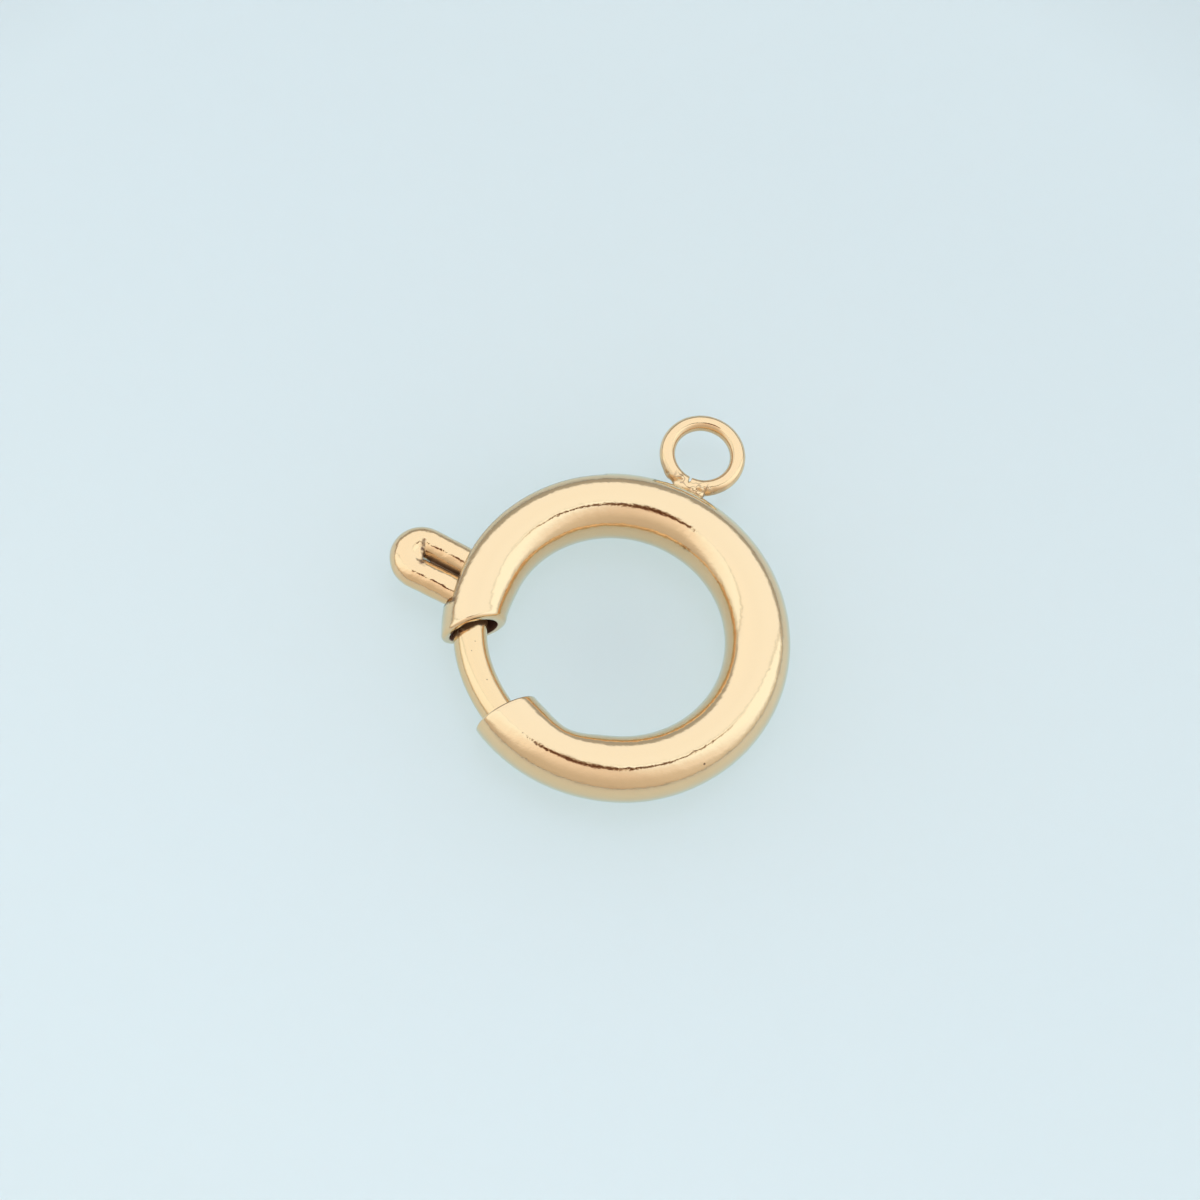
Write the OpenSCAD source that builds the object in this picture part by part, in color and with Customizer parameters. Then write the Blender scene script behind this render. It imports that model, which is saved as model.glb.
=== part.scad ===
// Round spring-ring clasp for a chain, lying flat on one side.
// A bent brass tube carries a wire eye. A curved gate wire slides inside the
// tube, pushed shut by a coil spring and pulled back by a folded wire trigger
// that stands out through a slot in the tube's outer wall.
// Millimetres. The ring's axis is Z, the surface it lies on is z = 0, and the
// eye points along +Y. Angles are counted from +X, anticlockwise from above.

/* [Ring tube] */
// Outside diameter of the ring
ring_od = 18; // [16:0.5:22]
// Thickness of the tube that the ring is bent from
tube_d = 3.4; // [3.3:0.02:3.6]
// Wall of the tube
wall = 0.44; // [0.38:0.01:0.45]

/* [Opening] */
// The mouth that the gate slides out of, on the ring's outside
mouth_out_deg = 206; // [204:0.5:208]
// The same mouth on the ring's inside
mouth_in_deg = 198; // [197:0.5:200]
// The end that takes the gate's tip, on the ring's outside
seat_out_deg = 240.5; // [238:0.5:242]
// The same end on the ring's inside
seat_in_deg = 244.5; // [242:0.5:246]

/* [Dent] */
// Middle of the dent in the ring's inner side
dent_deg = 268; // [264:1:272]
// Depth of the dent
dent_depth = 0.33; // [0.1:0.01:0.38]
// Radius of the dent's round bottom
dent_r = 2.8; // [2.4:0.1:3.2]

/* [Trigger slot] */
// End of the slot that stops the trigger when it is pulled right back
slot_from_deg = 118; // [112:0.5:118]
// End of the slot that the closed trigger rests against
slot_to_deg = 195.8; // [195.6:0.1:197]
// Half of the slot's width, as an angle round the tube's section
slot_half_deg = 40; // [39.5:0.5:42]

/* [Eye] */
// Outside diameter of the wire eye
eye_od = 4.56; // [4:0.02:5]
// Thickness of the eye's wire
eye_wire = 0.82; // [0.6:0.02:1]
// Gap between the eye and the ring, that the solder fills
eye_gap = 0.15; // [0:0.05:0.3]
// Length of the solder along the ring, where the eye sits on it
solder_l = 1.7; // [1.4:0.1:2]
// Thickness of the solder
solder_d = 0.9; // [0.8:0.02:1]

/* [Gate] */
// Thickness of the gate wire
gate_d = 1.75; // [1.7:0.01:1.78]
// How far the gate runs outside the middle of the tube
gate_out = 0.24; // [0.2:0.01:0.3]
// Where the gate's tail ends, inside the tube
gate_tail_deg = 165; // [162:1:168]
// Where the gate's tip ends, inside the tube's far end
gate_tip_deg = 246.5; // [245:0.5:248]
// Step down to the gate's nose, that finds the way into the tube
nose_step = 0.16; // [0.1:0.02:0.3]
// Length of the nose, round the ring
nose_deg = 2.4; // [1:0.1:4]

/* [Trigger] */
// Thickness of the wire that the trigger is folded from
trigger_wire = 1.54; // [1.4:0.02:1.56]
// Width of the folded trigger, across both legs
trigger_w = 3.3; // [3.2:0.02:3.34]
// Length from the middle of the gate wire to the middle of the fold
trigger_l = 3.3; // [3:0.1:3.6]
// Where the trigger leaves the gate
trigger_deg = 184.9; // [184.7:0.1:185]
// How far the trigger leans from straight out, towards the eye
trigger_lean_deg = 8.1; // [7.8:0.1:8.4]
// Thickness of the braze that closes the gap between the legs
web_d = 0.8; // [0.6:0.05:1]
// Length of the gap that the braze leaves open inside the fold
web_gap = 0.3; // [0.2:0.05:0.5]
// Thickness of the tang that is set in the gate
tang_d = 0.8; // [0.7:0.05:0.9]

/* [Spring] */
// Thickness of the spring's wire
spring_wire = 0.28; // [0.2:0.02:0.3]
// Outside diameter of the spring's coils
spring_od = 2.3; // [2:0.02:2.36]
// Number of coils
spring_turns = 14; // [10:1:16]
// Where the spring's fixed end bears on its stop
spring_from_deg = 33; // [30:1:40]
// Thickness of the stop, round the ring
stop_deg = 4; // [3:1:6]

/* [Hidden] */
$fn = 64;

tube_r = tube_d / 2;
bore_r = tube_r - wall;
ring_r = ring_od / 2 - tube_r;
gate_r = ring_r + gate_out;
eye_r = (eye_od - eye_wire) / 2;
eye_y = ring_od / 2 + eye_gap + eye_od / 2;
solder_y = ring_od / 2 + eye_gap;
stop_r = bore_r + wall / 2;

// How far the opening's cut runs past the ring's inside and outside, as shares
// of the tube's thickness.
cut_inside = -0.3;
cut_outside = 1.5;

gap = 0.03;
nose_overlap_deg = 1;
leg_off = (trigger_w - trigger_wire) / 2;
// The tang goes past the middle of the gate wire by this share of its thickness.
tang_share = 0.22;
tang_end = -tang_share * gate_d;
near_deg = 40;

coil_r = (spring_od - spring_wire) / 2;
coil_gap_deg = 1.4;
coil_from_deg = spring_from_deg + coil_gap_deg;
coil_to_deg = gate_tail_deg - coil_gap_deg;
wire_sides = 6;
steps_per_turn = 12;
spring_steps = spring_turns * steps_per_turn;

// A round bar of diameter d bent to radius r, from one angle to another.
module bent_bar(r, d, from_deg, to_deg)
    rotate([0, 0, from_deg])
        rotate_extrude(angle = to_deg - from_deg)
            translate([r, 0]) circle(d = d);

// The wedge, with its edge along the tube's middle, that cuts the slot.
module slot_cut()
    rotate([0, 0, slot_from_deg])
        rotate_extrude(angle = slot_to_deg - slot_from_deg)
            translate([ring_r, 0])
                polygon([[0, 0],
                         [tube_d, -tube_d * tan(slot_half_deg)],
                         [tube_d, tube_d * tan(slot_half_deg)]]);

// A point of the line across the tube, seen from above, that runs from the
// ring's inside at in_deg (share 0) to its outside at out_deg (share 1).
function spot(r, deg) = [r * cos(deg), r * sin(deg)];
function across(out_deg, in_deg, share) =
    let (outer = spot(ring_od / 2, out_deg),
         inner = spot(ring_od / 2 - tube_d, in_deg))
    inner + (outer - inner) * share;

// The opening between the mouth and the far end, each cut square to the bench.
module opening_cut()
    linear_extrude(2 * tube_d, center = true)
        polygon([across(mouth_out_deg, mouth_in_deg, cut_inside),
                 across(mouth_out_deg, mouth_in_deg, cut_outside),
                 across(seat_out_deg, seat_in_deg, cut_outside),
                 across(seat_out_deg, seat_in_deg, cut_inside)]);

// What the dent takes off a bar that keeps a wall of the given thickness
// between itself and the dent.
module dent(behind)
    rotate([0, 0, dent_deg])
        translate([ring_od / 2 - tube_d + dent_depth - dent_r, 0, 0])
            cylinder(r = dent_r + behind, h = 2 * tube_d, center = true);

module bent_tube()
    difference() {
        rotate_extrude() translate([ring_r, 0]) circle(d = tube_d);
        difference() {
            rotate_extrude() translate([ring_r, 0]) circle(r = bore_r);
            dent(wall);
        }
        dent(0);
        slot_cut();
        opening_cut();
    }

// Wire bent into a small ring, closed where it meets the tube.
module eye()
    translate([0, eye_y, 0])
        rotate_extrude() translate([eye_r, 0]) circle(d = eye_wire);

module solder()
    translate([0, solder_y, 0]) {
        rotate([0, 90, 0])
            cylinder(d = solder_d, h = solder_l - solder_d, center = true);
        for (side = [-1, 1])
            translate([side * (solder_l - solder_d) / 2, 0, 0])
                sphere(d = solder_d);
    }

// The plug inside the tube that the spring pushes against.
module spring_stop()
    bent_bar(ring_r, 2 * stop_r, spring_from_deg - stop_deg, spring_from_deg);

module ring()
    color("#E9C294")
        translate([0, 0, tube_r]) {
            bent_tube();
            spring_stop();
            eye();
            solder();
        }

// Puts its children in the trigger's own frame: +X runs out along the
// trigger from the middle of the gate wire.
module at_trigger()
    rotate([0, 0, trigger_deg])
        translate([gate_r, 0, 0])
            rotate([0, 0, -trigger_lean_deg])
                children();

module gate()
    color("#E4BC8C")
        translate([0, 0, tube_r])
            difference() {
                union() {
                    bent_bar(gate_r, gate_d, gate_tail_deg,
                             gate_tip_deg - nose_deg);
                    bent_bar(gate_r, gate_d - 2 * nose_step,
                             gate_tip_deg - nose_deg - nose_overlap_deg,
                             gate_tip_deg);
                }
                at_trigger()
                    translate([tang_end - gap, 0, 0])
                        rotate([0, 90, 0])
                            cylinder(d = tang_d + 2 * gap, h = gate_d);
            }

// A wire folded into a hairpin, with braze between its two legs.
module hairpin() {
    for (side = [-1, 1])
        translate([0, side * leg_off, 0])
            rotate([0, 90, 0]) cylinder(d = trigger_wire, h = trigger_l);
    translate([trigger_l, 0, 0])
        rotate([0, 0, -90])
            rotate_extrude(angle = 180)
                translate([leg_off, 0]) circle(d = trigger_wire);
    translate([0, -leg_off, -web_d / 2])
        cube([trigger_l - web_gap, 2 * leg_off, web_d]);
}

module trigger()
    color("#EFCB9C")
        translate([0, 0, tube_r]) {
            difference() {
                at_trigger() hairpin();
                bent_bar(gate_r, gate_d + 2 * gap, trigger_deg - near_deg,
                         trigger_deg + near_deg);
            }
            at_trigger()
                translate([tang_end, 0, 0])
                    rotate([0, 90, 0]) cylinder(d = tang_d, h = gate_d);
        }

// Middle of the spring's wire after i steps, and the section round it.
function spring_deg(i) =
    coil_from_deg + (coil_to_deg - coil_from_deg) * i / spring_steps;
function around(deg, out, up) =
    [(ring_r + out) * cos(deg), (ring_r + out) * sin(deg), up];
function wire_point(i, side) =
    let (turn = 360 * i / steps_per_turn,
         spoke = 360 * side / wire_sides,
         out = coil_r + spring_wire / 2 * cos(spoke),
         along = spring_wire / 2 * sin(spoke) / ring_r * 180 / PI)
    around(spring_deg(i) + along, out * cos(turn), out * sin(turn));

module spring()
    color("#B9BDC2")
        translate([0, 0, tube_r])
            polyhedron(
                points = [for (i = [0 : spring_steps], side = [0 : wire_sides - 1])
                              wire_point(i, side)],
                faces = concat(
                    [[for (side = [0 : wire_sides - 1]) side]],
                    [for (i = [0 : spring_steps - 1], side = [0 : wire_sides - 1])
                        let (next = (side + 1) % wire_sides, a = i * wire_sides)
                        [a + side, a + wire_sides + side,
                         a + wire_sides + next, a + next]],
                    [[for (side = [wire_sides - 1 : -1 : 0])
                         spring_steps * wire_sides + side]]));

ring();
gate();
trigger();
spring();
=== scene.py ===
"""Round spring-ring clasp in polished gold plate, lying on a pale blue sheet in a light tent.

The pieces are built in millimetres round the ring's own axis, Z, with the sheet at z = 0 and
the eye towards +Y, and are brought down to metres when each one is finished.
"""

import math

import bmesh
import bpy
from mathutils import Matrix, Vector, noise


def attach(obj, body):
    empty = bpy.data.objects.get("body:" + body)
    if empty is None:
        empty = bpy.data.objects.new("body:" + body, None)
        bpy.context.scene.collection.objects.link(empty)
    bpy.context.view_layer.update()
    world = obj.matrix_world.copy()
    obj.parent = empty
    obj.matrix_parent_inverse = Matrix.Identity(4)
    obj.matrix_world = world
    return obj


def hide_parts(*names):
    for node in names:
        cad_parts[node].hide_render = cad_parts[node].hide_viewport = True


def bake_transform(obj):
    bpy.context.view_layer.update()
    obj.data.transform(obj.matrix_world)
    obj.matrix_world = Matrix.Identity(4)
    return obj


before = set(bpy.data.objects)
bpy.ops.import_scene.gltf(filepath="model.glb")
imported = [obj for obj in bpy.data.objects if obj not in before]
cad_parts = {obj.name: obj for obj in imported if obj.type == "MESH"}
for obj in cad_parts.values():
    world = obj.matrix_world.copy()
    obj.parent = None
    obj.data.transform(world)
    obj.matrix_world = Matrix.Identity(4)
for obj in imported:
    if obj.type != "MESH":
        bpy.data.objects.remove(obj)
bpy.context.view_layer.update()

# Ring tube: 3.4 mm brass tube bent round a former, with a sawn end, a mouth rolled into a thick
# lip for the gate, and a slot milled along its outside for the trigger. The outside is polished,
# plated in pale gold and lacquered; the bore is left raw.
TUBE_R = 1.7
RING_R = 7.3
WALL = 0.44
# Angles run on from the sawn end, the seat of the gate's tip, past 360 degrees to the mouth.
SEAT_DEG = 241.5
MOUTH_DEG = 563.5
SLOT_FROM_DEG = 118.0 + 360
SLOT_TO_DEG = 195.5 + 360
SLOT_HALF_DEG = 40.0
STEP_DEG = 0.5
TUBE_SIDES = 54
# How the two ends slant across the tube, in degrees round the ring.
SEAT_LEAN = -2.4
SEAT_BOW = 0.8
MOUTH_LEAN = 4.0
# The last stretch of each end, in degrees, and the radius that its edge is rounded to.
MOUTH_ROLL_DEG = 4.0
MOUTH_LIP = 0.25
BORE_LIP = 0.03
SEAT_ROLL_DEG = 2.0
SEAT_LIP = 0.09
STRAIGHT_SHARE = 0.25
# The dent in the inner side, the flare before the mouth, and the tube's slight waviness.
DENT_DEG = 268.5
DENT_SPREAD_DEG = 11.5
DENT_DEPTH = 0.33
FLARE_FROM_DEG = 540
FLARE_TO_DEG = 562
FLARE = 0.11
FLARE_LEAN = 0.05
WAVE = 0.015
WAVES_PER_MM = 0.22
MM = 0.001


def soft_step(x, low, high):
    """0 below low, 1 above high, and a smooth rise between them."""
    t = min(max((x - low) / (high - low), 0.0), 1.0)
    return t * t * (3 - 2 * t)


def polar(radius, degrees, z=0.0):
    """A point at that distance from the ring's axis and that angle round it."""
    a = math.radians(degrees)
    return Vector((radius * math.cos(a), radius * math.sin(a), z))


def at_section(radius, degrees):
    """The upright plane across the tube at that angle, as a matrix for a flat circle."""
    middle = Matrix.Rotation(math.radians(degrees), 4, "Z") @ Matrix.Translation((radius, 0, TUBE_R))
    return middle @ Matrix.Rotation(math.radians(90), 4, "X")


def finish_mesh(name, bm, *materials):
    """Turns a mesh built in millimetres into a smooth-shaded object in metres."""
    bmesh.ops.scale(bm, vec=(MM, MM, MM), verts=bm.verts)
    bmesh.ops.recalc_face_normals(bm, faces=bm.faces)
    mesh = bpy.data.meshes.new(name)
    bm.to_mesh(mesh)
    bm.free()
    mesh.shade_smooth()
    for material in materials:
        mesh.materials.append(material)
    obj = bpy.data.objects.new(name, mesh)
    bpy.context.scene.collection.objects.link(obj)
    return obj


def add_node(tree, kind, inputs=None, **settings):
    """Adds a node, sets its properties, and links or sets its inputs."""
    node = tree.nodes.new(kind)
    for key, value in settings.items():
        setattr(node, key, value)
    for key, value in (inputs or {}).items():
        if isinstance(value, bpy.types.NodeSocket):
            tree.links.new(value, node.inputs[key])
        else:
            node.inputs[key].default_value = value
    return node


def arithmetic(tree, operation, a, b=0.0):
    """One step of arithmetic on sockets or numbers."""
    return add_node(tree, "ShaderNodeMath", {0: a, 1: b}, operation=operation).outputs[0]


def graded(tree, value, low, high, at_low, at_high):
    """A value that goes from at_low to at_high while the given one goes from low to high."""
    ends = {"From Min": low, "From Max": high, "To Min": at_low, "To Max": at_high}
    return add_node(tree, "ShaderNodeMapRange", {"Value": value, **ends}).outputs["Result"]


def plating_group():
    """Node group: the ripple, grain and pits that polishing leaves under electroplate."""
    group = bpy.data.node_groups.new("plating_surface", "ShaderNodeTree")
    sockets = group.interface
    sockets.new_socket("Vector", in_out="INPUT", socket_type="NodeSocketVector")
    sockets.new_socket("Ripple", in_out="INPUT", socket_type="NodeSocketFloat")
    sockets.new_socket("Grain", in_out="INPUT", socket_type="NodeSocketFloat")
    sockets.new_socket("Pits", in_out="OUTPUT", socket_type="NodeSocketFloat")
    sockets.new_socket("Haze", in_out="OUTPUT", socket_type="NodeSocketFloat")
    sockets.new_socket("Normal", in_out="OUTPUT", socket_type="NodeSocketVector")
    given = group.nodes.new("NodeGroupInput")
    out = group.nodes.new("NodeGroupOutput")
    vector = given.outputs["Vector"]

    ripple = add_node(group, "ShaderNodeTexNoise", {"Vector": vector, "Scale": 2300, "Detail": 3})
    grain = add_node(group, "ShaderNodeTexNoise", {"Vector": vector, "Scale": 12000, "Detail": 2})
    ripple_height = arithmetic(group, "MULTIPLY", ripple.outputs["Fac"], given.outputs["Ripple"])
    grain_height = arithmetic(group, "MULTIPLY", grain.outputs["Fac"], given.outputs["Grain"])
    height = arithmetic(group, "ADD", ripple_height, grain_height)
    bump = add_node(group, "ShaderNodeBump", {"Height": height, "Distance": 1e-6, "Strength": 1})
    group.links.new(bump.outputs["Normal"], out.inputs["Normal"])

    cells = add_node(group, "ShaderNodeTexVoronoi", {"Vector": vector, "Scale": 700})
    spot = graded(group, cells.outputs["Distance"], 0.03, 0.06, 1, 0)
    few = arithmetic(group, "GREATER_THAN", cells.outputs["Color"], 0.97)
    pits = arithmetic(group, "MULTIPLY", spot, few)
    group.links.new(pits, out.inputs["Pits"])

    haze = add_node(group, "ShaderNodeTexNoise", {"Vector": vector, "Scale": 320, "Detail": 4})
    group.links.new(haze.outputs["Fac"], out.inputs["Haze"])
    return group


plating = plating_group()
# The brown film on nicks and pits, which is also laid on as painted shade where the mesh says:
# its colour, how metallic it still looks, and how much of it a nick holds.
FILM_AND_SHADE_COLOR = (0.14, 0.058, 0.022, 1)
FILM_AND_SHADE_METAL = 0.3
NICK_FILM = 0.9
# The lacquer on clean plate, and how many times rougher the plate is where polishing left haze.
LACQUER = 0.8
HAZE_SPREAD = 1.7


def gold(name, ripple, grain, roughness=0.07, color=(0.90, 0.625, 0.352), nicks=()):
    """Pale gold plate under clear lacquer. Ripple and grain are unevenness, in micrometres.

    Each nick is a dark fleck in the plate: its place and its radius, in millimetres. The film
    lies on nicks and pits, and is also laid on as painted shade where the mesh's painted_shade
    attribute says; the lacquer thins out over it.
    """
    material = bpy.data.materials.new(name)
    material.use_nodes = True
    tree = material.node_tree
    place = add_node(tree, "ShaderNodeTexCoord")
    surface = add_node(tree, "ShaderNodeGroup", node_tree=plating)
    surface.inputs["Ripple"].default_value = ripple
    surface.inputs["Grain"].default_value = grain
    tree.links.new(place.outputs["Object"], surface.inputs["Vector"])
    painted_shade = add_node(tree, "ShaderNodeAttribute", attribute_name="painted_shade")
    marks_and_shade = arithmetic(tree, "MAXIMUM", surface.outputs["Pits"], painted_shade.outputs["Fac"])
    for x, y, z, radius in nicks:
        away = add_node(
            tree,
            "ShaderNodeVectorMath",
            {0: place.outputs["Object"], 1: Vector((x, y, z)) * MM},
            operation="DISTANCE",
        )
        nick = graded(tree, away.outputs["Value"], 0.5 * radius * MM, radius * MM, NICK_FILM, 0)
        marks_and_shade = arithmetic(tree, "MAXIMUM", marks_and_shade, nick)
    tone = add_node(
        tree,
        "ShaderNodeMix",
        {"Factor": marks_and_shade, "A": (*color, 1), "B": FILM_AND_SHADE_COLOR},
        data_type="RGBA",
    )
    bare = graded(tree, marks_and_shade, 0, 1, 1, FILM_AND_SHADE_METAL)
    lacquered = graded(tree, marks_and_shade, 0, 1, LACQUER, 0)
    dulled = graded(tree, surface.outputs["Haze"], 0.35, 0.7, roughness, roughness * HAZE_SPREAD)
    metal = tree.nodes["Principled BSDF"]
    tree.links.new(tone.outputs["Result"], metal.inputs["Base Color"])
    tree.links.new(bare, metal.inputs["Metallic"])
    tree.links.new(dulled, metal.inputs["Roughness"])
    tree.links.new(surface.outputs["Normal"], metal.inputs["Normal"])
    tree.links.new(lacquered, metal.inputs["Coat Weight"])
    metal.inputs["Coat IOR"].default_value = 1.5
    metal.inputs["Coat Roughness"].default_value = 0.05
    metal.inputs["Specular Tint"].default_value = (0.70, 0.92, 1, 1)
    return material


TUBE_NICKS = [
    (-1.60, 8.52, 2.70, 0.13),
    (-1.45, 8.57, 2.67, 0.09),
    (1.44, 8.52, 2.75, 0.06),
    (1.52, 8.49, 2.76, 0.05),
    (6.84, -4.98, 2.94, 0.08),
]
tube_gold = gold("gold_tube", ripple=16, grain=0.2, nicks=TUBE_NICKS)
raw_bore = gold("raw_bore", ripple=8, grain=1.5, roughness=0.45, color=(0.50, 0.27, 0.19))


def rolled(share, stretch_deg, lip):
    """The angle along an end's last stretch, and the distance inwards, of a point of its lip.

    The share is 0 where the stretch begins and 1 at its end. The first points take up the
    straight part, and the others go round the lip.
    """
    turned = math.radians(90 * max(share - STRAIGHT_SHARE, 0) / (1 - STRAIGHT_SHARE))
    lip_deg = math.degrees(lip / RING_R)
    along = (stretch_deg - lip_deg) * min(share / STRAIGHT_SHARE, 1) + lip_deg * math.sin(turned)
    return along, lip * (1 - math.cos(turned))


def bent(v):
    """The place on the real ring of a point of the plain bent tube."""
    turn = math.degrees(math.atan2(v.y, v.x)) % 360
    if turn < SEAT_DEG - STEP_DEG / 2:
        turn += 360
    side = Vector((math.hypot(v.x, v.y) - RING_R, v.z - TUBE_R))
    outside = side.length > TUBE_R - WALL / 2
    mouth_share = 1 - (MOUTH_DEG - turn) / MOUTH_ROLL_DEG
    seat_share = 1 - (turn - SEAT_DEG) / SEAT_ROLL_DEG
    inward = 0
    if mouth_share > 0:
        along, inward = rolled(mouth_share, MOUTH_ROLL_DEG, MOUTH_LIP if outside else BORE_LIP)
        turn = MOUTH_DEG - MOUTH_ROLL_DEG + along
    elif seat_share > 0:
        along, inward = rolled(seat_share, SEAT_ROLL_DEG, SEAT_LIP)
        turn = SEAT_DEG + SEAT_ROLL_DEG - along
    side *= 1 + (-inward if outside else inward) / side.length
    across = side.x / TUBE_R
    turn += MOUTH_LEAN * across * soft_step(turn, SLOT_TO_DEG, MOUTH_DEG - 2)
    near_seat = 1 - soft_step(turn, SEAT_DEG + 1, SEAT_DEG + 12)
    turn += (SEAT_LEAN * across + SEAT_BOW * across**2) * near_seat
    inner = max(-across, 0.0)
    dent = DENT_DEPTH * math.exp(-(((turn - DENT_DEG) / DENT_SPREAD_DEG) ** 2)) * inner**1.5
    flare = soft_step(turn, FLARE_FROM_DEG, FLARE_TO_DEG) * (FLARE - FLARE_LEAN * across)
    wave = WAVE * noise.noise(polar(RING_R + side.x, turn, side.y) * WAVES_PER_MM)
    return polar(RING_R + side.x + dent + flare + wave, turn, TUBE_R + side.y)


bm = bmesh.new()
seat_section = at_section(RING_R, SEAT_DEG)
for radius in (TUBE_R, TUBE_R - WALL):
    bmesh.ops.create_circle(bm, segments=TUBE_SIDES, radius=radius, matrix=seat_section)
bmesh.ops.spin(
    bm,
    geom=bm.verts[:] + bm.edges[:],
    cent=(0, 0, 0),
    axis=(0, 0, 1),
    angle=math.radians(MOUTH_DEG - SEAT_DEG),
    steps=round((MOUTH_DEG - SEAT_DEG) / STEP_DEG),
)


def tube_place(point):
    """Angle round the ring, angle round the section, and distance from its middle."""
    side = Vector((math.hypot(point.x, point.y) - RING_R, point.z - TUBE_R))
    turn = math.degrees(math.atan2(point.y, point.x)) % 360
    if turn < SEAT_DEG + SEAT_LEAN - STEP_DEG:
        turn += 360
    return turn, math.degrees(math.atan2(side.y, side.x)), side.length


in_slot = []
for face in bm.faces:
    turn, lift, depth = tube_place(face.calc_center_median())
    face.material_index = int(depth < TUBE_R - WALL / 2)
    if SLOT_FROM_DEG < turn < SLOT_TO_DEG and abs(lift) < SLOT_HALF_DEG:
        in_slot.append(face)
bmesh.ops.delete(bm, geom=in_slot, context="FACES")
outer_rims = [
    e for e in bm.edges if e.is_boundary and tube_place(e.verts[0].co)[2] > TUBE_R - WALL / 2
]
for item in bmesh.ops.extrude_edge_only(bm, edges=outer_rims)["geom"]:
    if isinstance(item, bmesh.types.BMVert):
        turn, lift, depth = tube_place(item.co)
        side = polar(TUBE_R - WALL, lift)
        item.co = polar(RING_R + side.x, turn, TUBE_R + side.y)
bmesh.ops.remove_doubles(bm, verts=bm.verts, dist=0.001)
for v in bm.verts:
    v.co = bent(v.co)
bmesh.ops.recalc_face_normals(bm, faces=bm.faces)
slot_edges = [
    e
    for e in bm.edges
    if e.calc_face_angle(0) > 1
    and SLOT_FROM_DEG - 2 < tube_place(e.verts[0].co)[0] < SLOT_TO_DEG + 2
]


def round_over(bm, edges, radius, segments):
    """Rounds sharp edges over, as a file and the polishing wheel do."""
    bmesh.ops.bevel(
        bm,
        geom=edges,
        affect="EDGES",
        offset=radius,
        offset_type="OFFSET",
        segments=segments,
        profile=0.5,
        material=-1,
    )


round_over(bm, slot_edges, radius=0.05, segments=2)
# Painted shade: a dark line in the gap along the sawn end, a faint shade over the inside of the
# ring, and shade along the slot's edges and across its end.
SEAT_GAP_SHADE = 0.9
RING_INSIDE_SHADE = 0.08
SLOT_EDGE_SHADE = 0.5
SLOT_END_SHADE = 0.85
painted_shade = bm.verts.layers.float.new("painted_shade")
for v in bm.verts:
    turn, lift, depth = tube_place(v.co)
    if depth > TUBE_R - WALL / 2:
        across = (math.hypot(v.co.x, v.co.y) - RING_R) / TUBE_R
        lean = SEAT_LEAN * across + SEAT_BOW * across**2
        from_seat = math.radians(turn - SEAT_DEG - lean) * RING_R
        at_end = (1 - soft_step(from_seat, 0.03, 0.10)) * (1 - soft_step(across, 0.3, 0.7))
        v[painted_shade] = max(SEAT_GAP_SHADE * at_end, RING_INSIDE_SHADE * soft_step(-across, 0.6, 0.9))
        # Painted shade along the slot's edges and across its end, where the trigger meets the ring.
        if SLOT_FROM_DEG - 1 < turn < SLOT_TO_DEG + 1 and abs(abs(lift) - SLOT_HALF_DEG) < 3:
            v[painted_shade] = SLOT_EDGE_SHADE
        if abs(turn - SLOT_TO_DEG) < 0.8 and abs(lift) < SLOT_HALF_DEG + 3:
            v[painted_shade] = SLOT_END_SHADE
tube = finish_mesh("ring_tube", bm, tube_gold, raw_bore)
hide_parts("ring")
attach(tube, "ring")

# Spring stop: a brass plug pressed and soldered into the tube, which the fixed end of the spring
# bears on. It can't be seen on the closed clasp.
STOP_FROM_DEG = 29.0
STOP_TO_DEG = 33.0
STOP_R = TUBE_R - WALL - 0.01


def swept_wire(place, wire_r, sides, **turn):
    """A new mesh of a round wire swept about Z, with the open rims at its two ends."""
    bm = bmesh.new()
    made = bmesh.ops.create_circle(bm, segments=sides, radius=wire_r, matrix=place)
    first = bm.edges[:]
    swept = bmesh.ops.spin(bm, geom=made["verts"] + first, axis=(0, 0, 1), **turn)
    last = [item for item in swept["geom_last"] if isinstance(item, bmesh.types.BMEdge)]
    return bm, first, last


def close_ends(bm, *rims):
    """Closes each open rim with a flat face."""
    for rim in rims:
        bmesh.ops.contextual_create(bm, geom=rim)


def bent_bar(radius, wire_r, from_deg, to_deg, sides, steps):
    """A round bar bent about the ring's axis, with flat ends."""
    angle = math.radians(to_deg - from_deg)
    place = at_section(radius, from_deg)
    bm, first, last = swept_wire(place, wire_r, sides, cent=(0, 0, 0), angle=angle, steps=steps)
    close_ends(bm, first, last)
    return bm


bm = bent_bar(RING_R, STOP_R, STOP_FROM_DEG, STOP_TO_DEG, sides=48, steps=6)
stop = finish_mesh("spring_stop", bm, raw_bore)
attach(stop, "ring")

# Eye: a length of 0.82 mm wire bent into a small ring. Its two ends meet against the tube, the
# left one nipped flat, and lumpy hard solder holds both of them down and runs along the tube.
EYE_AT = (0.03, 11.365)
EYE_R = 1.865
EYE_WIRE_R = 0.415
EYE_GAP_DEG = 4.0
EYE_GAP_AT = 268.6
# Where a crease in the solder and the notch at the nipped end of the wire lie, and how dark the
# painted shade in each is.
SOLDER_CREASE_X = 0.97
NIP_X = -0.82
SOLDER_CREASE_SHADE = 0.6
NIP_NOTCH_SHADE = 0.35
# Painted shade on the flanks between solder lumps, on the wire's side towards the tube near the joint,
# and inside the eye.
LUMP_FLANK_SHADE = 0.5
UNDERSIDE_SHADE = 0.3
INSIDE_EYE_SHADE = 0.15


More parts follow.
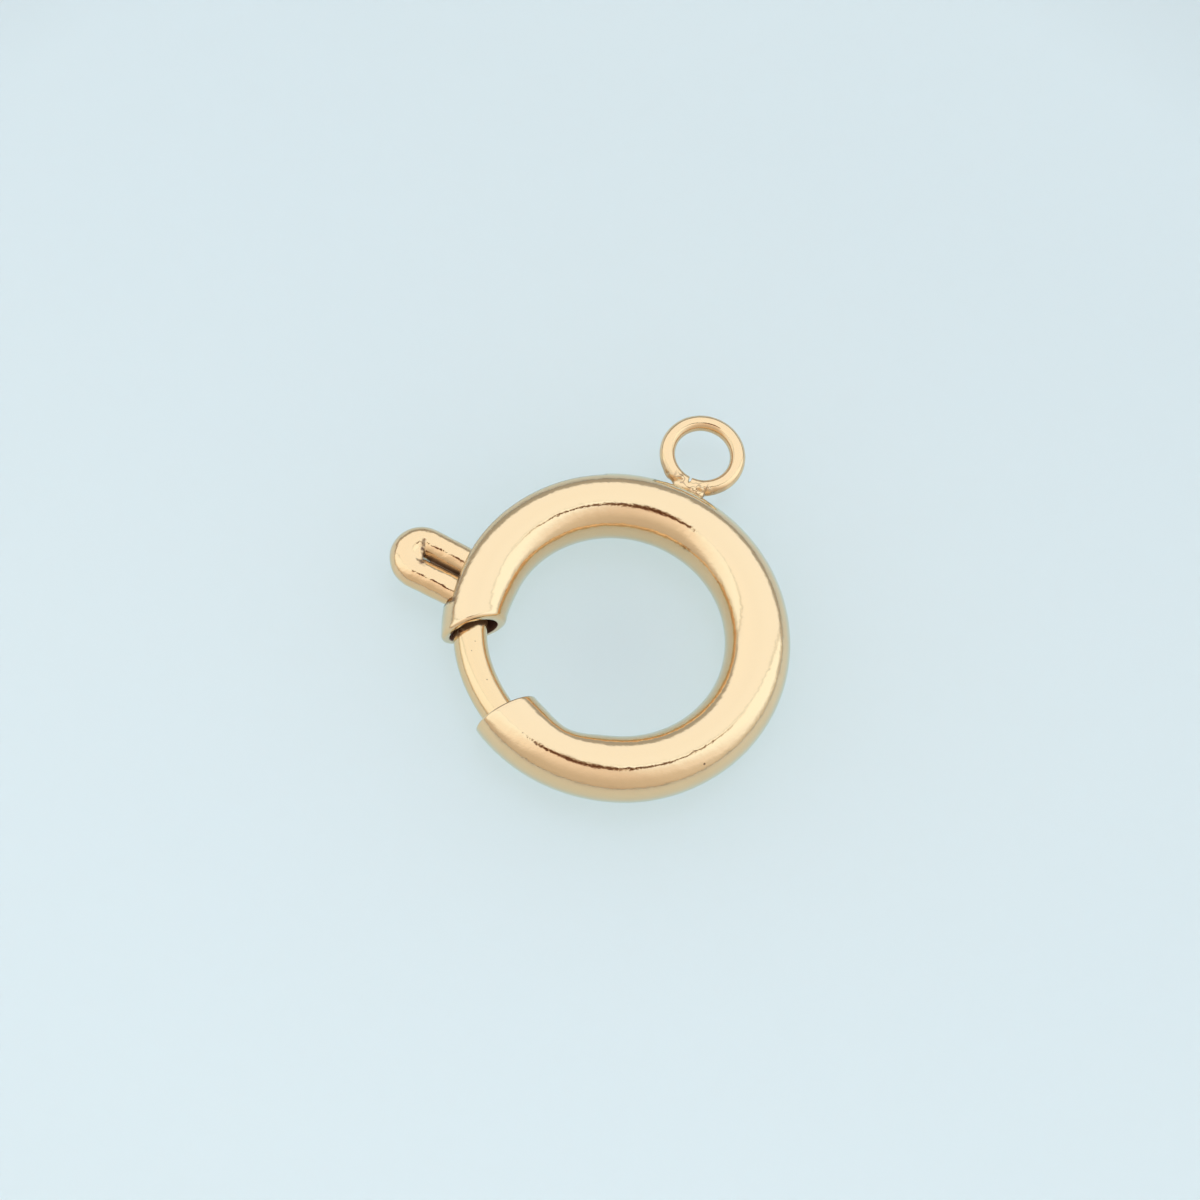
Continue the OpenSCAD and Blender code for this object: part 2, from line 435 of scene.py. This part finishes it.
def melted(bm, voxel, rounds):
    """One skin round everything in a mesh, as solder and wire flow together."""
    mesh = bpy.data.meshes.new("melting")
    bm.to_mesh(mesh)
    bm.clear()
    body = bpy.data.objects.new("melting", mesh)
    bpy.context.scene.collection.objects.link(body)
    skin = body.modifiers.new("skin", "REMESH")
    skin.mode = "VOXEL"
    skin.voxel_size = voxel
    bm.from_object(body, bpy.context.evaluated_depsgraph_get())
    bpy.data.objects.remove(body)
    bpy.data.meshes.remove(mesh)
    every_axis = {"use_axis_x": True, "use_axis_y": True, "use_axis_z": True}
    for _ in range(rounds):
        bmesh.ops.smooth_vert(bm, verts=bm.verts, factor=0.5, **every_axis)


eye_gold = gold("gold_eye", ripple=12, grain=0.3, color=(0.90, 0.60, 0.32))
eye_middle = Matrix.Translation((*EYE_AT, TUBE_R))
to_gap = Matrix.Rotation(math.radians(EYE_GAP_AT + EYE_GAP_DEG / 2), 4, "Z")
upright = Matrix.Rotation(math.radians(90), 4, "X")
bm, first, last = swept_wire(
    eye_middle @ to_gap @ Matrix.Translation((EYE_R, 0, 0)) @ upright,
    EYE_WIRE_R,
    sides=32,
    cent=(*EYE_AT, TUBE_R),
    angle=math.radians(360 - EYE_GAP_DEG),
    steps=140,
)
close_ends(bm, first, last)
# Each lump of solder: where it sits, and its half sizes.
SOLDER_LUMPS = [
    (-0.50, 9.55, 0.12, 0.32, 0.20, 0.36),
    (-0.06, 9.45, 0.00, 0.22, 0.20, 0.30),
    (0.12, 9.22, 0.02, 0.90, 0.42, 0.42),
    (0.62, 9.42, 0.12, 0.32, 0.24, 0.36),
]
for x, y, z, half_x, half_y, half_z in SOLDER_LUMPS:
    spot = Matrix.Translation((x, y, TUBE_R + z)) @ Matrix.Diagonal((half_x, half_y, half_z, 1))
    bmesh.ops.create_icosphere(bm, subdivisions=3, radius=1, matrix=spot)
melted(bm, voxel=0.025, rounds=8)
bmesh.ops.recalc_face_normals(bm, faces=bm.faces)
bm.normal_update()
painted_shade = bm.verts.layers.float.new("painted_shade")
shifts = []
for v in bm.verts:
    soldered = 1 - soft_step(v.co.y, 9.5, 9.9)
    lump = noise.noise(v.co * 2.5)
    shifts.append(v.normal * (0.06 * lump * soldered))
    # Painted shade: along a crease in the solder, in the notch at the nipped end, on the flanks
    # between lumps, on the wire's side towards the tube by the joint, and inside the eye.
    painted_solder_crease = 1 - soft_step(abs(v.co.x - SOLDER_CREASE_X), 0.02, 0.06)
    painted_notch_shade = 1 - soft_step(abs(v.co.x - NIP_X), 0.03, 0.10)
    painted_flank_shade = 1 - soft_step(abs(lump), 0.02, 0.10)
    painted_underside_shade = soft_step(-v.normal.y, 0.2, 0.6) * (1 - soft_step(v.co.y, 9.9, 10.3))
    inside = math.hypot(v.co.x - EYE_AT[0], v.co.y - EYE_AT[1]) < EYE_R - 0.5 * EYE_WIRE_R
    painted_solder_shade = max(LUMP_FLANK_SHADE * painted_flank_shade, SOLDER_CREASE_SHADE * painted_solder_crease, NIP_NOTCH_SHADE * painted_notch_shade) * soldered
    v[painted_shade] = max(painted_solder_shade, UNDERSIDE_SHADE * painted_underside_shade, INSIDE_EYE_SHADE * inside)
for v, shift in zip(bm.verts, shifts):
    v.co += shift
eye = finish_mesh("eye", bm, eye_gold)
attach(eye, "ring")

# Gate: a curved solid wire that closes the opening. Its tip enters the tube's far end and its
# tail runs on inside the tube, behind the trigger. It slides, so its plating is a little rubbed.
# Where it goes into the mouth it is darkened by painted shade, for the shade inside the tube.
GATE_R = 7.54
GATE_WIRE_R = 0.875
GATE_FROM_DEG = 165.0
GATE_TO_DEG = 246.4
MOUTH_SHADE_TO_DEG = 205.2
MOUTH_SHADE = 0.95
GATE_NICKS = [
    (-6.39, -3.81, 2.57, 0.035),
    (-6.34, -4.36, 2.56, 0.03),
    (-4.99, -5.46, 2.56, 0.04),
]

gate_gold = gold(
    "gold_gate", ripple=9, grain=0.5, roughness=0.10, color=(0.89, 0.60, 0.315), nicks=GATE_NICKS
)
bm = bent_bar(GATE_R, GATE_WIRE_R, GATE_FROM_DEG, GATE_TO_DEG, sides=48, steps=163)
ends = [e for f in bm.faces if len(f.verts) > 4 for e in f.edges]
round_over(bm, ends, radius=0.06, segments=3)
painted_shade = bm.verts.layers.float.new("painted_shade")
# The wire isn't bent quite round: it drifts outwards at the mouth, and inwards towards its tip.
for v in bm.verts:
    turn = math.degrees(math.atan2(v.co.y, v.co.x)) % 360
    drift = 0.04 * soft_step(turn, 196, 206) - 0.06 * soft_step(turn, 208, 236)
    v.co = polar(math.hypot(v.co.x, v.co.y) + drift, turn, v.co.z)
    # Painted shade darkens the wire inside the mouth, up to a ragged rim.
    rim = MOUTH_SHADE_TO_DEG + 2.2 * (math.hypot(v.co.x, v.co.y) - GATE_R) / GATE_WIRE_R
    v[painted_shade] = MOUTH_SHADE * (1 - soft_step(turn + 2 * noise.noise(v.co * 3), rim - 0.6, rim))
gate = finish_mesh("gate", bm, gate_gold)
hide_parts("gate")
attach(gate, "gate")

# Trigger: a round wire folded back on itself into a hairpin and soldered to the gate. Braze run
# into the groove between its legs stops short of the fold and leaves a pinhole, and the inside
# of the fold is torn and puckered where the wire was squeezed.
TRIGGER_DEG = 184.9
TRIGGER_LEAN = 8.1
TRIGGER_L = 3.3
LEG_R = 0.82
FOLD_OFF = 0.88
ROOT_OFF = 0.84
ROOT_X = 0.6
# The braze between the legs, and the metal squeezed into the inside of the fold.
WEB_X = 1.72
WEB_SIZE = (2.25, 0.8, 0.2)
SQUEEZED_X = 3.7
SQUEEZED_TURN = 17
SQUEEZED_SIZE = (0.8, 1.3, 1.32)
# Where the torn edge crosses the middle of the fold and its slant, and how dark the painted shade
# is in the crevice along that edge and under the root of the legs.
TORN_X = 3.32
TORN_SLANT = 0.33
TORN_EDGE_SHADE = 0.85
ROOT_UNDERSIDE_SHADE = 0.6

trigger_gold = gold("gold_trigger", ripple=30, grain=0.3, color=(0.90, 0.60, 0.32))
at_trigger = (
    Matrix.Rotation(math.radians(TRIGGER_DEG), 4, "Z")
    @ Matrix.Translation((GATE_R, 0, TUBE_R))
    @ Matrix.Rotation(math.radians(-TRIGGER_LEAN), 4, "Z")
)
bm, first, last = swept_wire(
    Matrix.Translation((TRIGGER_L, -FOLD_OFF, 0)) @ Matrix.Rotation(math.radians(90), 4, "Y"),
    LEG_R,
    sides=48,
    cent=(TRIGGER_L, 0, 0),
    angle=math.radians(180),
    steps=40,
)
for section, side in ((first, -1), (last, 1)):
    grown = bmesh.ops.extrude_edge_only(bm, edges=section)["geom"]
    root = [g for g in grown if isinstance(g, bmesh.types.BMVert)]
    to_root = (ROOT_X - TRIGGER_L, side * (ROOT_OFF - FOLD_OFF), 0)
    bmesh.ops.translate(bm, vec=to_root, verts=root)
    close_ends(bm, [e for e in bm.edges if all(v in root for v in e.verts)])
web = Matrix.Translation((WEB_X, 0, 0)) @ Matrix.Diagonal((*WEB_SIZE, 1))
bmesh.ops.create_cube(bm, size=1, matrix=web)
squeezed = Matrix.Translation((SQUEEZED_X, 0, 0))
squeezed @= Matrix.Rotation(math.radians(SQUEEZED_TURN), 4, "Z")
bmesh.ops.create_cube(bm, size=1, matrix=squeezed @ Matrix.Diagonal((*SQUEEZED_SIZE, 1)))
melted(bm, voxel=0.03, rounds=5)
bmesh.ops.recalc_face_normals(bm, faces=bm.faces)
bm.normal_update()
painted_shade = bm.verts.layers.float.new("painted_shade")
shifts = []
for v in bm.verts:
    ragged = 0.12 * noise.noise(Vector((0, v.co.y * 4, v.co.z * 2)))
    from_edge = v.co.x - TORN_X + TORN_SLANT * v.co.y - ragged
    at_edge = (1 - soft_step(abs(from_edge), 0.05, 0.3)) * (1 - soft_step(abs(v.co.y), 0.6, 0.75))
    pucker = 0.05 * noise.noise(v.co * 3) + 0.014 * noise.noise(v.co * 9)
    shift = v.normal * (0.015 * noise.noise(v.co * 1.5) + at_edge * pucker)
    narrow = 0.06 * (1 - soft_step(v.co.x, 1.2, 2.0))
    shifts.append(shift + Vector((ragged * at_edge, 0, -v.co.z * narrow)))
    # Painted shade: in the groove between the legs, in the crevice along the torn edge, and under the
    # root of the legs.
    in_groove = 1 - soft_step(v.co.x, 2.9, 3.3)
    painted_groove_shade = 0.55 * (1 - soft_step(abs(v.co.y), 0.06, 0.36))
    painted_groove_shade += 0.35 * (1 - soft_step(abs(v.co.y), 0.04, 0.16))
    reach = 0.16 + 0.14 * soft_step(v.co.y, 0.1, 0.5)
    painted_crevice_shade = 1 - soft_step(abs(from_edge), 0.3 * reach, reach)
    painted_crevice_shade *= 1 - soft_step(abs(v.co.y), 0.55, 0.75)
    painted_crevice_shade *= 0.7 + 0.9 * noise.noise(v.co * 7)
    painted_root_shade = (1 - soft_step(v.co.x, 1.5, 1.9)) * soft_step(-v.co.z, 0.1, 0.5)
    v[painted_shade] = max(painted_groove_shade * in_groove, TORN_EDGE_SHADE * painted_crevice_shade, ROOT_UNDERSIDE_SHADE * painted_root_shade)
for v, shift in zip(bm.verts, shifts):
    v.co += shift
bmesh.ops.transform(bm, matrix=at_trigger, verts=bm.verts)
trigger = finish_mesh("trigger", bm, trigger_gold)
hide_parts("trigger")
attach(trigger, "gate")

# Spring: a coil of 0.28 mm steel wire inside the tube, between the plug and the tail of the gate.
# It only shows through the slot.
COIL_TURNS = 14
COIL_R = 1.01
COIL_WIRE_R = 0.14
COIL_FROM_DEG = 34.4
COIL_TO_DEG = 163.6
TURN_STEPS = 24

steel = bpy.data.materials.new("spring_steel")
steel.use_nodes = True
steel_tree = steel.node_tree
steel_place = add_node(steel_tree, "ShaderNodeTexCoord")
steel_surface = add_node(steel_tree, "ShaderNodeGroup", node_tree=plating)
steel_surface.inputs["Ripple"].default_value = 2
steel_surface.inputs["Grain"].default_value = 1
steel_tree.links.new(steel_place.outputs["Object"], steel_surface.inputs["Vector"])
steel_dull = graded(steel_tree, steel_surface.outputs["Haze"], 0, 1, 0.2, 0.4)
steel_metal = steel_tree.nodes["Principled BSDF"]
steel_metal.inputs["Metallic"].default_value = 1
steel_metal.inputs["Base Color"].default_value = (0.60, 0.60, 0.61, 1)
steel_tree.links.new(steel_surface.outputs["Normal"], steel_metal.inputs["Normal"])
steel_tree.links.new(steel_dull, steel_metal.inputs["Roughness"])

coil_length = math.radians(COIL_TO_DEG - COIL_FROM_DEG) * RING_R
bm, first, last = swept_wire(
    Matrix.Translation((COIL_R, 0, 0)) @ upright,
    COIL_WIRE_R,
    sides=10,
    cent=(0, 0, 0),
    dvec=(0, 0, coil_length / (COIL_TURNS * TURN_STEPS)),
    angle=math.radians(360 * COIL_TURNS),
    steps=COIL_TURNS * TURN_STEPS,
)
close_ends(bm, first, last)
for v in bm.verts:
    v.co = polar(RING_R + v.co.x, COIL_FROM_DEG + math.degrees(v.co.z / RING_R), TUBE_R + v.co.y)
spring = finish_mesh("spring", bm, steel)
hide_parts("spring")
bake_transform(spring)

# Sheet: the clasp lies on a large sheet of pale blue opal acrylic. Light spreads a few
# millimetres inside it, which washes out the shadow right under the metal. A painted glow, given
# out by the sheet itself, stands for the light that comes out of it again. Far from the clasp the
# sheet's colour is painted darker, as painted shade for less light.
SHEET_REACH = 1500
OPAL_GREENER = (0.403, 0.448, 0.480, 1)
OPAL_BLUER = (0.393, 0.448, 0.500, 1)
OPAL_PAINTED_GLOW = (0.320, 0.345, 0.305)

opal = bpy.data.materials.new("opal_sheet")
opal.use_nodes = True
opal_tree = opal.node_tree
opal_place = add_node(opal_tree, "ShaderNodeTexCoord")
opal_cloud = add_node(
    opal_tree, "ShaderNodeTexNoise", {"Vector": opal_place.outputs["Object"], "Scale": 25, "Detail": 3}
)
opal_tone = add_node(
    opal_tree,
    "ShaderNodeMix",
    {"Factor": opal_cloud.outputs["Fac"], "A": OPAL_GREENER, "B": OPAL_BLUER},
    data_type="RGBA",
)
opal_spot = add_node(opal_tree, "ShaderNodeSeparateXYZ", {"Vector": opal_place.outputs["Object"]})
# Painted shade: the sheet's colour is made a little darker towards the back, and much darker far
# from the clasp, for the light that falls off there.
opal_painted_falloff = graded(opal_tree, opal_spot.outputs["Y"], -30 * MM, 30 * MM, 1.0, 0.93)
opal_length = add_node(
    opal_tree, "ShaderNodeVectorMath", {0: opal_place.outputs["Object"]}, operation="LENGTH"
)
opal_reach = opal_length.outputs["Value"]
opal_painted_dusk = graded(opal_tree, opal_reach, 45 * MM, 110 * MM, 1.0, 0.45)
opal_painted_light = arithmetic(opal_tree, "MULTIPLY", opal_painted_falloff, opal_painted_dusk)
opal_painted_tone = add_node(
    opal_tree,
    "ShaderNodeVectorMath",
    {0: opal_tone.outputs["Result"], "Scale": opal_painted_light},
    operation="SCALE",
)
# The painted glow is dimmed towards the ring's middle, as painted shade for less light creeping
# under the ring, and at a glancing angle.
opal_painted_middle_shade = graded(opal_tree, opal_reach, 1.0 * MM, 5.5 * MM, 0.88, 1.0)
opal_gloss = add_node(opal_tree, "ShaderNodeFresnel", {"IOR": 1.5})
opal_let_out = arithmetic(opal_tree, "SUBTRACT", 1.04, opal_gloss.outputs["Fac"])
opal_inner = arithmetic(opal_tree, "MULTIPLY", opal_painted_light, opal_let_out)
opal_within = arithmetic(opal_tree, "MULTIPLY", opal_inner, opal_painted_middle_shade)
opal_painted_glow = add_node(
    opal_tree,
    "ShaderNodeVectorMath",
    {0: OPAL_PAINTED_GLOW, "Scale": opal_within},
    operation="SCALE",
)
opal_skin = opal_tree.nodes["Principled BSDF"]
opal_skin.subsurface_method = "BURLEY"
opal_skin.inputs["Roughness"].default_value = 0.35
opal_skin.inputs["Specular IOR Level"].default_value = 0.5
opal_skin.inputs["Subsurface Weight"].default_value = 1
opal_skin.inputs["Subsurface Radius"].default_value = (0.55, 1, 1)
opal_skin.inputs["Subsurface Scale"].default_value = 0.07
opal_skin.inputs["Emission Strength"].default_value = 1
opal_tree.links.new(opal_painted_glow.outputs["Vector"], opal_skin.inputs["Emission Color"])
opal_tree.links.new(opal_painted_tone.outputs["Vector"], opal_skin.inputs["Base Color"])

bm = bmesh.new()
bmesh.ops.create_grid(bm, x_segments=2, y_segments=2, size=SHEET_REACH)
sheet = finish_mesh("opal_sheet", bm, opal)

# Light: a tent of white panels on grey cloth walls, with a seam between panels at each side. The
# panels are cool and bright, but dimmer, warmer and higher up towards the camera, which looks in
# through a dark slit in the cloth. The walls are a little darker at their foot.
world = bpy.data.worlds.new("light_tent")
bpy.context.scene.world = world
world.use_nodes = True
tent = world.node_tree
# The directions across the tent that its angles are counted from and towards.
TENT_RIGHT = (0.9905, 0.1022, 0.0923)
TENT_FAR = (-0.1236, 0.9550, 0.2696)
look = add_node(tent, "ShaderNodeTexCoord").outputs["Generated"]


def dot_with(vector):
    """The part of the viewing direction that lies along a fixed one."""
    product = add_node(tent, "ShaderNodeVectorMath", {0: look, 1: vector}, operation="DOT_PRODUCT")
    return product.outputs["Value"]


# An angle in degrees round the tent, the panel's colour there, the colour of the wall below it,
# and the heights in degrees at which the panel starts and is at its full brightness.
TENT_PLAN = [
    (-179, (1.09, 1.27, 1.40), (0.74, 0.76, 0.68), 0, 17),
    (-150, (1.04, 1.17, 1.24), (0.66, 0.64, 0.58), 2, 16),
    (-130, (0.99, 1.02, 1.03), (0.61, 0.60, 0.57), 7, 35),
    (-110, (0.98, 0.96, 0.95), (0.61, 0.59, 0.54), 18, 66),
    (-70, (0.94, 0.91, 0.90), (0.61, 0.58, 0.53), 18, 71),
    (-45, (0.87, 0.83, 0.82), (0.64, 0.62, 0.57), 18, 68),
    (-28, (0.84, 0.84, 0.84), (0.70, 0.69, 0.65), 18, 60),
    (-10, (0.92, 0.96, 0.99), (0.70, 0.74, 0.74), 2, 24),
    (6, (1.04, 1.20, 1.33), (0.69, 0.74, 0.75), 3, 20),
    (14, (1.10, 1.30, 1.44), (0.68, 0.73, 0.75), 3, 18),
    (38, (1.10, 1.30, 1.44), (0.60, 0.64, 0.66), 3, 13),
    (40, (0.62, 0.66, 0.68), (0.49, 0.53, 0.54), 5, 14),
    (42, (1.03, 1.18, 1.32), (0.46, 0.50, 0.51), 6, 15),
    (70, (1.03, 1.18, 1.32), (0.42, 0.46, 0.48), 10, 19),
    (92, (1.02, 1.16, 1.29), (0.41, 0.44, 0.45), 17, 26),
    (130, (1.03, 1.17, 1.30), (0.41, 0.45, 0.46), 15, 23),
    (150, (1.04, 1.18, 1.30), (0.43, 0.45, 0.44), 8, 16),
    (168, (1.03, 1.17, 1.29), (0.50, 0.50, 0.48), 3, 12),
    (170.5, (0.62, 0.64, 0.64), (0.55, 0.55, 0.52), 3, 12),
    (173, (1.07, 1.25, 1.37), (0.66, 0.66, 0.60), 2, 14),
]
angles, panel_colors, wall_colors, starts, fulls = zip(*TENT_PLAN)


def ramp(factor, colors):
    """A colour ramp round the tent, with one stop for each angle of its plan."""
    node = add_node(tent, "ShaderNodeValToRGB", {"Fac": factor})
    stops = node.color_ramp.elements
    while len(stops) < len(angles):
        stops.new(1)
    for stop, angle, color in zip(stops, angles, colors):
        stop.position = (angle + 180) / 360
        stop.color = (*color, 1)
    return node.outputs["Color"]


turn = arithmetic(tent, "ARCTAN2", dot_with(TENT_FAR), dot_with(TENT_RIGHT))
turn = arithmetic(tent, "ADD", arithmetic(tent, "DIVIDE", turn, 2 * math.pi), 0.5)
panels = ramp(turn, panel_colors)
walls = ramp(turn, wall_colors)
heights = ramp(turn, [(start / 90, full / 90, 0) for start, full in zip(starts, fulls)])
height = add_node(tent, "ShaderNodeSeparateColor", {"Color": heights})
upwards = arithmetic(tent, "ARCSINE", dot_with((0, 0, 1)))
elevation = arithmetic(tent, "DIVIDE", upwards, math.pi / 2)
rise = add_node(
    tent,
    "ShaderNodeMapRange",
    {
        "Value": elevation,
        "From Min": height.outputs["Red"],
        "From Max": height.outputs["Green"],
    },
    interpolation_type="SMOOTHSTEP",
)
cloth = add_node(
    tent,
    "ShaderNodeMix",
    {"Factor": rise.outputs["Result"], "A": walls, "B": panels},
    data_type="RGBA",
)
foot = graded(tent, elevation, 0.0, 0.12, 0.86, 1)
grounded = add_node(
    tent,
    "ShaderNodeMix",
    {"Factor": 1, "A": cloth.outputs["Result"], "B": foot},
    data_type="RGBA",
    blend_type="MULTIPLY",
)

# The slit is laid out in the directions to the right of the lens and above it.
CAMERA_RIGHT = Vector((0.91218, 0.39453, 0.11084))
CAMERA_UP = Vector((-0.40577, 0.83168, 0.37903))
right_of = dot_with(CAMERA_RIGHT)
up_of = dot_with(CAMERA_UP)


def oval(x, y, half_x, half_y, lean, sag):
    """The squared distance from the middle of an oval that leans and sags, 1 on its rim."""
    over = arithmetic(tent, "DIVIDE", arithmetic(tent, "SUBTRACT", right_of, x), half_x)
    slope = arithmetic(tent, "ADD", arithmetic(tent, "MULTIPLY", over, sag), lean)
    line = arithmetic(tent, "MULTIPLY", over, slope)
    up = arithmetic(tent, "SUBTRACT", arithmetic(tent, "SUBTRACT", up_of, y), line)
    up = arithmetic(tent, "DIVIDE", up, half_y)
    over_squared = arithmetic(tent, "MULTIPLY", over, over)
    return arithmetic(tent, "ADD", over_squared, arithmetic(tent, "MULTIPLY", up, up))


# The middle of the slit, its left end, and its right end, which is long and thin.
middle = oval(0.05, 0.075, 0.24, 0.15, lean=-0.04, sag=0.02)
left_end = oval(-0.13, 0.11, 0.10, 0.12, lean=0.0, sag=0.0)
right_end = oval(0.30, 0.10, 0.38, 0.075, lean=0.14, sag=0.12)
away = arithmetic(tent, "MINIMUM", middle, arithmetic(tent, "MINIMUM", left_end, right_end))
dimming = add_node(tent, "ShaderNodeValToRGB", {"Fac": away})
shades = dimming.color_ramp.elements
shades[0].position = 0.30
shades[0].color = (0.12, 0.05, 0.025, 1)
shades[1].position = 1.0
shades[1].color = (1, 1, 1, 1)
shades.new(0.62).color = (0.52, 0.38, 0.28, 1)
seen = add_node(
    tent,
    "ShaderNodeMix",
    {"Factor": 1, "A": grounded.outputs["Result"], "B": dimming.outputs["Color"]},
    data_type="RGBA",
    blend_type="MULTIPLY",
)
tent.links.new(seen.outputs["Result"], tent.nodes["Background"].inputs["Color"])
tent.nodes["Background"].inputs["Strength"].default_value = 1.06

# Camera: a long lens above the clasp and a little in front of it, turned so that the eye points
# up and to the right and the opening is at the lower left.
CAMERA_AT = Vector((10.2555, -79.208, 191.351))
CAMERA_BACK = Vector((0.05736, -0.39072, 0.91872))
lens = bpy.data.cameras.new("camera")
lens.lens = 120
lens.sensor_width = 36
lens.clip_start = 0.01
camera = bpy.data.objects.new("camera", lens)
bpy.context.scene.collection.objects.link(camera)
turned = Matrix((CAMERA_RIGHT, CAMERA_UP, CAMERA_BACK)).transposed().to_4x4()
camera.matrix_world = Matrix.Translation(CAMERA_AT * MM) @ turned
bpy.context.scene.camera = camera
bpy.context.scene.view_settings.view_transform = "Standard"
